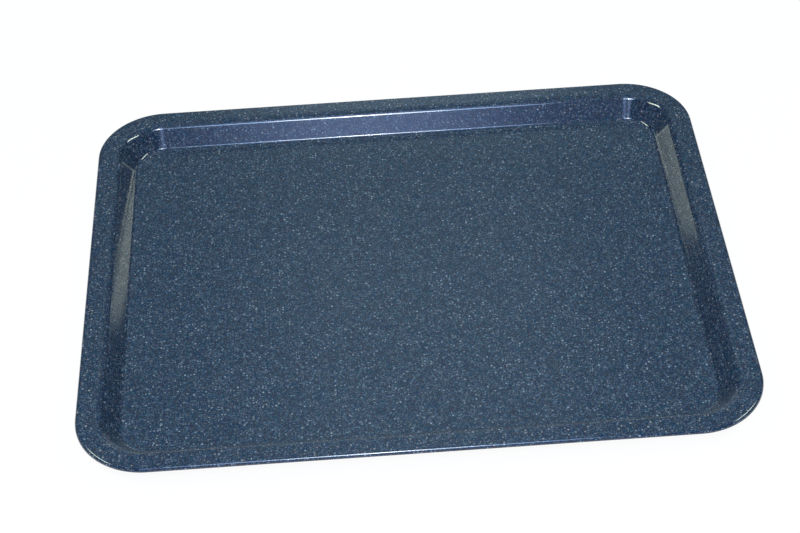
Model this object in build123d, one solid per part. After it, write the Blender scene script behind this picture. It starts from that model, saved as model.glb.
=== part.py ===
from build123d import *
from math import radians, tan
import os

# Oven baking tray: one steel sheet, pressed to a shallow well with a flat rim and a turned-down lip,
# then enamelled all over. +X runs along the long side and +Z is up. The origin is the middle of the
# underside, on the surface that the tray stands on.

# Driving dimensions, in millimetres and degrees
tray_length = 445.0  # along X, over the lips
tray_width = 360.0  # along Y, over the lips
corner_radius = 48.0  # outer corner, seen from above
sheet = 0.9  # steel together with its enamel
well_depth = 15.5  # upper face of the rim down to upper face of the floor
rim_width = 15.5  # outer face of the lip to the line where rim and wall would cross
lip_drop = 2.8  # upper face of the rim down to the end of the lip
wall_slope = 53.0  # wall against the floor
lip_bend = 2.2  # bend radii, each on the face that is seen from above
rim_bend = 7.0
floor_bend = 4.0
edge_round = 0.35  # enamel rounds off the cut edge of the lip

# What follows from them
rim_top = sheet + well_depth
lip_end = rim_top - lip_drop
floor_inset = rim_width + well_depth / tan(radians(wall_slope))
bend_shift = sheet * tan(radians(wall_slope) / 2)  # the hidden face bends this much nearer to the lip
straight_length = tray_length - 2 * corner_radius
straight_width = tray_width - 2 * corner_radius


def sheet_section():
    # Across the sheet, from the end of the lip to the axis of the corner: X inwards, Y up
    seen = [
        (0, lip_end),
        (0, rim_top),
        (rim_width, rim_top),
        (floor_inset, sheet),
        (corner_radius, sheet),
    ]
    hidden = [
        (sheet, lip_end),
        (sheet, rim_top - sheet),
        (rim_width - bend_shift, rim_top - sheet),
        (floor_inset - bend_shift, 0),
        (corner_radius, 0),
    ]
    # Both faces of a bend share its centre, so their radii differ by the sheet
    seen_rounds = [edge_round, lip_bend, rim_bend, floor_bend]
    hidden_rounds = [edge_round, lip_bend - sheet, rim_bend - sheet, floor_bend + sheet]
    section = make_face(Polyline(*seen, *reversed(hidden), close=True))
    for corner, radius in zip(seen[:4] + hidden[:4], seen_rounds + hidden_rounds):
        section = fillet(section.vertices().sort_by_distance(corner)[:1], radius)
    return section


def side_and_corner(section, run, reach):
    # One straight side, seen along +Y, and the corner at its left end
    across = Plane(origin=(-run / 2, -reach, 0), x_dir=(0, 1, 0), z_dir=(1, 0, 0))
    placed = across * section
    corner_axis = Axis((-run / 2, corner_radius - reach, 0), (0, 0, -1))
    return extrude(placed, amount=run) + revolve(placed, axis=corner_axis, revolution_arc=90)


def pressed_tray():
    # The same section is carried along each side and round each corner, and a flat floor closes the middle
    section = sheet_section()
    long_side = side_and_corner(section, straight_length, tray_width / 2)
    short_side = side_and_corner(section, straight_width, tray_length / 2)
    sides = [long_side, Rot(Z=90) * short_side, Rot(Z=180) * long_side, Rot(Z=270) * short_side]
    floor = Box(straight_length, straight_width, sheet, align=(Align.CENTER, Align.CENTER, Align.MIN))
    return floor.fuse(*sides).clean()


os.makedirs("parts", exist_ok=True)
tray = pressed_tray()
print("solids", len(tray.solids()), "faces", len(tray.faces()), "volume", round(tray.volume, 1))
export_step(tray, "parts/baking_tray.step")
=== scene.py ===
import math
import bmesh
import bpy
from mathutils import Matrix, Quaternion, Vector


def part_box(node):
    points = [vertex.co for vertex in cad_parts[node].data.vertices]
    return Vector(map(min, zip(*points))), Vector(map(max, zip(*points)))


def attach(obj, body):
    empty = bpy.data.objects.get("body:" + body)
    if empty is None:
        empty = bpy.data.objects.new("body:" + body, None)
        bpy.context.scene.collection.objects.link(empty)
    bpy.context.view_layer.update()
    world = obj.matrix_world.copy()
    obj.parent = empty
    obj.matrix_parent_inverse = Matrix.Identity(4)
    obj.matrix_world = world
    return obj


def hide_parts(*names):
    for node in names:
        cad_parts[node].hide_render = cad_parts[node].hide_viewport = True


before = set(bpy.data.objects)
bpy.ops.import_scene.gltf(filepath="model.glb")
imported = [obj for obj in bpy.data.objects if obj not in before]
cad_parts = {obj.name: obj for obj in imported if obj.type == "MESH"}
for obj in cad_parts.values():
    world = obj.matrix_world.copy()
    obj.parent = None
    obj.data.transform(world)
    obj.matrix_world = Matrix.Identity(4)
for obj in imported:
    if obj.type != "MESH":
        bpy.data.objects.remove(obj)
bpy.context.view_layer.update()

mm = 0.001
trayLow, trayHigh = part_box("baking_tray")
print("frame loaded, tray measures", [round(v, 4) for v in trayHigh - trayLow])

# the pressed sheet, as in the CAD: sizes are on the face that is seen from above
trayForm = {
    "sheet": 0.9 * mm,
    "cornerRadius": 48 * mm,
    "rimWidth": 15.5 * mm,  # lip to the line where rim and wall would cross
    "lipDrop": 2.8 * mm,
    "wallSlope": math.radians(53),
    "lipBend": 2.2 * mm,
    "rimBend": 7 * mm,
    "floorBend": 4 * mm,
    "edgeRound": 0.35 * mm,  # enamel on the cut edge
    "cutAngle": math.radians(60),  # edges that turn by more than this are cut ones
    "flatWeight": 100,  # the flat faces lead the shading
    "cornerSteps": 32,
    "bendSteps": 12,
    "edgeSteps": 3,
}


def foldLine(bm, level, steepness):
    # edges at this height, between the flat sheet and a face whose normal rises by steepness
    nearLevel = 0.01 * mm
    nearSlope = 0.05
    flat = 0.99
    found = []
    for edge in bm.edges:
        slopes = [face.normal.z for face in edge.link_faces]
        isLevel = all(abs(v.co.z - level) < nearLevel for v in edge.verts)
        if isLevel and len(slopes) == 2 and max(slopes) > flat and abs(min(slopes) - steepness) < nearSlope:
            found.append(edge)
    return found


def bendSheet(bm, edges, radius, turn, steps):
    # a bend starts radius * tan(turn / 2) before its fold line
    bmesh.ops.bevel(bm, geom=edges, offset=radius * math.tan(turn / 2), offset_type="OFFSET",
                    affect="EDGES", segments=steps, profile=0.5, material=-1)


def pressTray(form):
    size = trayHigh - trayLow
    rimTop = trayHigh.z
    floorTop = trayLow.z + form["sheet"]
    wellDepth = rimTop - floorTop
    slope = form["wallSlope"]
    bm = bmesh.new()
    # blank: a flat plate with round corners, at the height of the rim
    bmesh.ops.create_grid(bm, x_segments=1, y_segments=1, size=0.5)
    bmesh.ops.scale(bm, verts=bm.verts, vec=(size.x, size.y, 1))
    bmesh.ops.translate(bm, verts=bm.verts, vec=(0, 0, rimTop))
    bmesh.ops.bevel(bm, geom=bm.verts[:], offset=form["cornerRadius"], offset_type="OFFSET",
                    affect="VERTICES", segments=form["cornerSteps"], profile=0.5, material=-1)
    # rim and well: two insets, the second one pressed down
    plate = bm.faces[:][0]
    bmesh.ops.inset_region(bm, faces=[plate], thickness=form["rimWidth"], use_even_offset=True,
                           use_boundary=True)
    bmesh.ops.inset_region(bm, faces=[plate], thickness=wellDepth / math.tan(slope), use_even_offset=True)
    bmesh.ops.translate(bm, verts=plate.verts[:], vec=(0, 0, -wellDepth))
    # lip: the outer edge turned down
    border = [e for e in bm.edges if e.is_boundary]
    lip = bmesh.ops.extrude_edge_only(bm, edges=border)["geom"]
    bmesh.ops.translate(bm, verts=[g for g in lip if isinstance(g, bmesh.types.BMVert)],
                        vec=(0, 0, -form["lipDrop"]))
    bmesh.ops.recalc_face_normals(bm, faces=bm.faces[:])
    if max(bm.faces, key=lambda f: f.calc_area()).normal.z < 0:
        bmesh.ops.reverse_faces(bm, faces=bm.faces[:])
    # the three bends, from the outside in
    bm.normal_update()
    bendSheet(bm, foldLine(bm, rimTop, 0), form["lipBend"], math.pi / 2, form["bendSteps"])
    bm.normal_update()
    bendSheet(bm, foldLine(bm, rimTop, math.cos(slope)), form["rimBend"], slope, form["bendSteps"])
    bm.normal_update()
    bendSheet(bm, foldLine(bm, floorTop, math.cos(slope)), form["floorBend"], slope, form["bendSteps"])
    mesh = bpy.data.meshes.new("bakingTray")
    bm.to_mesh(mesh)
    bm.free()
    mesh.shade_smooth()
    tray = bpy.data.objects.new("bakingTray", mesh)
    bpy.context.scene.collection.objects.link(tray)
    # thickness below the seen face, then the enamel's round on the cut edge
    wall = tray.modifiers.new("sheet", "SOLIDIFY")
    wall.thickness = form["sheet"]
    wall.offset = -1
    wall.use_even_offset = True
    edge = tray.modifiers.new("cutEdge", "BEVEL")
    edge.width = form["edgeRound"]
    edge.segments = form["edgeSteps"]
    edge.limit_method = "ANGLE"
    edge.angle_limit = form["cutAngle"]
    flats = tray.modifiers.new("flatFaces", "WEIGHTED_NORMAL")
    flats.weight = form["flatWeight"]
    flats.keep_sharp = False
    print("tray pressed,", len(mesh.vertices), "points on the seen face")
    return tray


class Wire:
    # a shader socket that can stand in a sum
    def __init__(self, shop, socket):
        self.shop = shop
        self.socket = socket

    def math(self, operation, first, second=0.0):
        return self.shop.node("ShaderNodeMath", {"operation": operation}, {0: first, 1: second})["Value"]

    def __add__(self, other):
        return self.math("ADD", self, other)

    def __sub__(self, other):
        return self.math("SUBTRACT", self, other)

    def __rsub__(self, other):
        return self.math("SUBTRACT", other, self)

    def __mul__(self, other):
        return self.math("MULTIPLY", self, other)

    def __abs__(self):
        return self.math("ABSOLUTE", self)

    __radd__ = __add__
    __rmul__ = __mul__


class Shop:
    # makes the nodes of one material or world
    def __init__(self, tree):
        self.tree = tree
        tree.nodes.clear()

    def node(self, kind, settings, sockets):
        made = self.tree.nodes.new(kind)
        for name, value in settings.items():
            setattr(made, name, value)
        for name, value in sockets.items():
            if isinstance(value, Wire):
                self.tree.links.new(value.socket, made.inputs[name])
            else:
                made.inputs[name].default_value = value
        return {out.name: Wire(self, out) for out in made.outputs if out.enabled}

    def smooth(self, value, low, high):
        settings = {"interpolation_type": "SMOOTHSTEP", "clamp": True}
        sockets = {"Value": value, "From Min": low, "From Max": high}
        return self.node("ShaderNodeMapRange", settings, sockets)["Result"]

    def tint(self, share, under, over):
        # for colours, the Mix node has its factor on socket 0 and the two colours on 6 and 7
        settings = {"data_type": "RGBA"}
        return self.node("ShaderNodeMix", settings, {0: share, 6: under, 7: over})["Result"]


enamelLook = {
    "umber": (0.023, 0.0205, 0.032, 1),  # the navy ground is grains of four colours
    "blue": (0.0, 0.0245, 0.06, 1),
    "teal": (0.0, 0.0385, 0.04, 1),
    "violet": (0.021, 0.008, 0.052, 1),
    "hueEdge": (0.2, 0.8),  # how sharply one colour turns to the other from grain to grain
    "smallShare": 0.35,  # of the small grains, teal and violet, in the ground
    "fleck": (0.122, 0.148, 0.19, 1),
    "coolGlint": (0.19, 0.27, 0.36, 1),
    "warmGlint": (0.31, 0.275, 0.26, 1),
    "fine": (1500, 0.6, 0.25),  # flecks: cells in a metre, radius in cells, soft edge in cells
    "middle": (850, 0.55, 0.2),
    "large": (480, 0.33, 0.08),
    "fineStrength": 0.9,
    "middleStrength": 0.7,
    "crowd": (160, 2),  # flecks gather in places: scale, detail
    "crowdLeast": 0.5,
    "pebble": (900, 1),  # a slight orange peel in the glaze: scale, detail
    "pebbleStrength": 0.018,
    "pebbleHeight": 0.2 * mm,
    "roughness": 0.07,
    "glass": 1.6,  # refractive index of the enamel
}


def speckledEnamel(look):
    material = bpy.data.materials.new("speckledEnamel")
    material.use_nodes = True
    shop = Shop(material.node_tree)
    place = shop.node("ShaderNodeTexCoord", {}, {})["Object"]

    def flecks(scale, radius, soft):
        cell = shop.node("ShaderNodeTexVoronoi", {"feature": "F1"}, {"Vector": place, "Scale": scale})
        chance = shop.node("ShaderNodeSeparateColor", {}, {"Color": cell["Color"]})
        spot = 1 - shop.smooth(cell["Distance"] - chance["Red"] * radius, -soft, soft)
        return spot * chance["Green"], chance["Blue"]

    def cloud(scale, detail):
        sockets = {"Vector": place, "Scale": scale, "Detail": detail}
        return shop.node("ShaderNodeTexNoise", {}, sockets)["Fac"]

    fine, fineHue = flecks(*look["fine"])
    middle, middleHue = flecks(*look["middle"])
    large, largeHue = flecks(*look["large"])
    coarse = shop.tint(shop.smooth(middleHue, *look["hueEdge"]), look["umber"], look["blue"])
    small = shop.tint(shop.smooth(fineHue, *look["hueEdge"]), look["teal"], look["violet"])
    ground = shop.tint(look["smallShare"], coarse, small)
    crowd = look["crowdLeast"] + cloud(*look["crowd"])
    powder = (fine * look["fineStrength"] + middle * look["middleStrength"]) * crowd
    dusted = shop.tint(powder, ground, look["fleck"])
    glint = shop.tint(largeHue, look["coolGlint"], look["warmGlint"])
    colour = shop.tint(large * crowd, dusted, glint)
    bump = shop.node("ShaderNodeBump", {}, {
        "Strength": look["pebbleStrength"],
        "Distance": look["pebbleHeight"],
        "Height": cloud(*look["pebble"]),
    })
    shader = shop.node("ShaderNodeBsdfPrincipled", {}, {
        "Base Color": colour,
        "Roughness": look["roughness"],
        "IOR": look["glass"],
        "Normal": bump["Normal"],
    })
    shop.node("ShaderNodeOutputMaterial", {}, {"Surface": shader["BSDF"]})
    print("enamel mixed from", len(material.node_tree.nodes), "nodes")
    return material


cameraSet = {
    "place": Vector((-32.3, -945.8, 891.1)) * mm,
    "aim": Vector((-5.1, -1.3, 8.0)) * mm,
    "roll": math.radians(-2.72),
    "lens": 83.19,
    "sensor": 36,
    "nearest": 10 * mm,
}


def setCamera(setting):
    lens = bpy.data.cameras.new("camera")
    lens.lens = setting["lens"]
    lens.sensor_width = setting["sensor"]
    lens.sensor_fit = "HORIZONTAL"
    lens.clip_start = setting["nearest"]
    camera = bpy.data.objects.new("camera", lens)
    aim = (setting["aim"] - setting["place"]).to_track_quat("-Z", "Y")
    camera.rotation_mode = "QUATERNION"
    camera.rotation_quaternion = aim @ Quaternion((0, 0, 1), setting["roll"])
    camera.location = setting["place"]
    bpy.context.scene.collection.objects.link(camera)
    bpy.context.scene.camera = camera
    print("camera placed")


floorSet = {
    "size": 8,
    "drop": 0.3 * mm,  # clear of the tray's underside
    "colour": (0.96, 0.96, 0.96, 1),
    "roughness": 0.9,
    "glow": 0.95,  # share of plain white that the view and the reflections get
}


def seenWhite(shop):
    # 1 for what the view and the reflections see, 0 for light on its way to a surface
    path = shop.node("ShaderNodeLightPath", {}, {})
    return path["Is Camera Ray"] + path["Is Glossy Ray"] + path["Is Transmission Ray"]


def setStage(setting):
    bm = bmesh.new()
    bmesh.ops.create_grid(bm, x_segments=1, y_segments=1, size=setting["size"] / 2)
    bmesh.ops.translate(bm, verts=bm.verts, vec=(0, 0, -setting["drop"]))
    mesh = bpy.data.meshes.new("floor")
    bm.to_mesh(mesh)
    bm.free()
    floor = bpy.data.objects.new("floor", mesh)
    bpy.context.scene.collection.objects.link(floor)
    material = bpy.data.materials.new("paleFloor")
    material.use_nodes = True
    shop = Shop(material.node_tree)
    paper = shop.node("ShaderNodeBsdfPrincipled", {}, {
        "Base Color": setting["colour"], "Roughness": setting["roughness"],
    })
    white = shop.node("ShaderNodeEmission", {}, {"Strength": 1.0})
    both = shop.node("ShaderNodeMixShader", {}, {
        0: seenWhite(shop) * setting["glow"], 1: paper["BSDF"], 2: white["Emission"],
    })
    shop.node("ShaderNodeOutputMaterial", {}, {"Surface": both["Shader"]})
    mesh.materials.append(material)
    print("floor laid")


# light by direction: aside is along X, away is from the camera along Y, up is along Z, from -1 to 1
# each pair is where a soft edge starts and ends
roomLight = {
    "dim": (0.012, 0.014, 0.02, 1),  # wherever nothing else is
    "ceiling": (0.148, 0.235, 0.28, 1),
    "ceilingAside": (0.3, 0.5),
    "ceilingAway": (-0.55, -0.4),
    "ceilingUp": (0.4, 0.55),
    "backdrop": (0.42, 0.48, 0.5, 1),  # low, straight behind the tray
    "backdropAway": (0.86, 0.94),
    "strip": (0.6, 0.83, 0.93, 1),  # cool light high behind the tray
    "stripMiddle": 0.03,
    "stripAside": (0.03, 0.14),
    "stripAway": (0.0, 0.3),
    "stripUp": (0.3, 0.5),
    "stripLoss": 0.78,  # weaker above this edge
    "stripLossUp": (0.619, 0.634),
    "stripGain": 0.22,  # a little stronger again above this one
    "stripGainUp": (0.64, 0.69),
    "glow": (1.33, 1.83, 3.28, 1),  # blue light above and below the flash
    "glowMiddle": 0.01,
    "glowAside": (0.0, 0.12),
    "glowAway": (-0.4, -0.2),
    "glowUp": (0.3, 0.5),
    "haloAside": (0.12, 0.3),  # the glow goes on faintly to both sides
    "haloShare": 0.13,
    "paneStart": (0.12, 0.15),  # a patch of the glow to the left of the flash
    "paneEnd": (0.2, 0.28),
    "paneShare": 0.87,
    "seen": (1, 1, 1, 1),  # what the camera itself sees past the floor
}


def lightRoom(light):
    world = bpy.data.worlds.new("studio")
    bpy.context.scene.world = world
    world.use_nodes = True
    shop = Shop(world.node_tree)
    look = shop.node("ShaderNodeTexCoord", {}, {})["Generated"]
    way = shop.node("ShaderNodeSeparateXYZ", {}, {"Vector": look})
    right, away, up = way["X"], way["Y"], way["Z"]
    left = 0 - right

    def past(distance, edge):
        return shop.smooth(distance, *light[edge])

    def within(distance, edge):
        return 1 - past(distance, edge)

    fromStrip = abs(right - light["stripMiddle"])
    strip = within(fromStrip, "stripAside") * past(away, "stripAway") * past(up, "stripUp")
    loss = light["stripLoss"] * past(up, "stripLossUp")
    gain = light["stripGain"] * past(up, "stripGainUp")
    strip = strip * (1 - loss + gain)
    fromFlash = abs(right - light["glowMiddle"])
    core = within(fromFlash, "glowAside")
    halo = light["haloShare"] * within(fromFlash, "haloAside") * (1 - core)
    pane = light["paneShare"] * (past(left, "paneStart") * within(left, "paneEnd"))
    glow = (core + halo + pane) * within(away, "glowAway") * past(up, "glowUp")
    ceiling = past(up, "ceilingUp") * past(away, "ceilingAway") * within(fromStrip, "ceilingAside")
    room = shop.tint(ceiling, light["dim"], light["ceiling"])
    room = shop.tint(past(away, "backdropAway"), room, light["backdrop"])
    room = shop.tint(strip, room, light["strip"])
    room = shop.tint(glow, room, light["glow"])
    isSeen = shop.node("ShaderNodeLightPath", {}, {})["Is Camera Ray"]
    sky = shop.node("ShaderNodeBackground", {}, {
        "Color": shop.tint(isSeen, room, light["seen"]), "Strength": 1.0,
    })
    shop.node("ShaderNodeOutputWorld", {}, {"Surface": sky["Background"]})
    print("room lit")


lampSet = {
    "flashPlace": Vector((-22, -782, 1066)) * mm,  # above the camera
    "flashAim": cameraSet["aim"],
    "flashLamps": (  # size, power and colour: small white ones in a large bluer one
        ((0.13, 0.3), 2.4, (0.95, 1, 1)),
        ((0.28, 0.34), 4.8, (0.8, 0.92, 1)),
        ((0.6, 0.45), 6.8, (0.42, 0.62, 1)),
    ),
    "spark": ((0.07, 0.2), 0.9, (1, 1, 0.96)),  # the flash's bright middle
    "sparkNear": 0.99,  # just in front of the flash
    "boxTurn": math.radians(81.5),  # two softboxes, left and right, turned from straight behind the tray
    "boxReach": 3,
    "boxLeft": (math.radians(51.2), (1.69, 0.42), 36),  # angle above the floor, size, power
    "boxRight": (math.radians(49.7), (1.69, 0.38), 33.5),
    "boxColour": (0.88, 1, 0.84),
}


def hangLamp(name, place, aim, shape, size, power, colour):
    lamp = bpy.data.lights.new(name, "AREA")
    lamp.shape = shape
    lamp.size, lamp.size_y = size
    lamp.energy = power
    lamp.color = colour
    holder = bpy.data.objects.new(name, lamp)
    holder.location = place
    holder.rotation_mode = "QUATERNION"
    holder.rotation_quaternion = (aim - place).to_track_quat("-Z", "Y")
    holder.visible_camera = False
    bpy.context.scene.collection.objects.link(holder)


def hangLamps(setting):
    flash, aim = setting["flashPlace"], setting["flashAim"]
    for size, power, colour in setting["flashLamps"]:
        hangLamp("flash", flash, aim, "ELLIPSE", size, power, colour)
    hangLamp("spark", flash * setting["sparkNear"], aim, "ELLIPSE", *setting["spark"])
    turn = setting["boxTurn"]
    for name, side in (("boxLeft", -1), ("boxRight", 1)):
        rise, size, power = setting[name]
        way = Vector((side * math.sin(turn), math.cos(turn), math.tan(rise))).normalized()
        hangLamp(name, way * setting["boxReach"], Vector(), "RECTANGLE", size, power, setting["boxColour"])
    print("lamps hung")


tray = pressTray(trayForm)
tray.data.materials.append(speckledEnamel(enamelLook))
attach(tray, "root")
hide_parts("baking_tray")
setCamera(cameraSet)
setStage(floorSet)
lightRoom(roomLight)
hangLamps(lampSet)
bpy.context.scene.view_settings.view_transform = "Standard"
print("studio set")
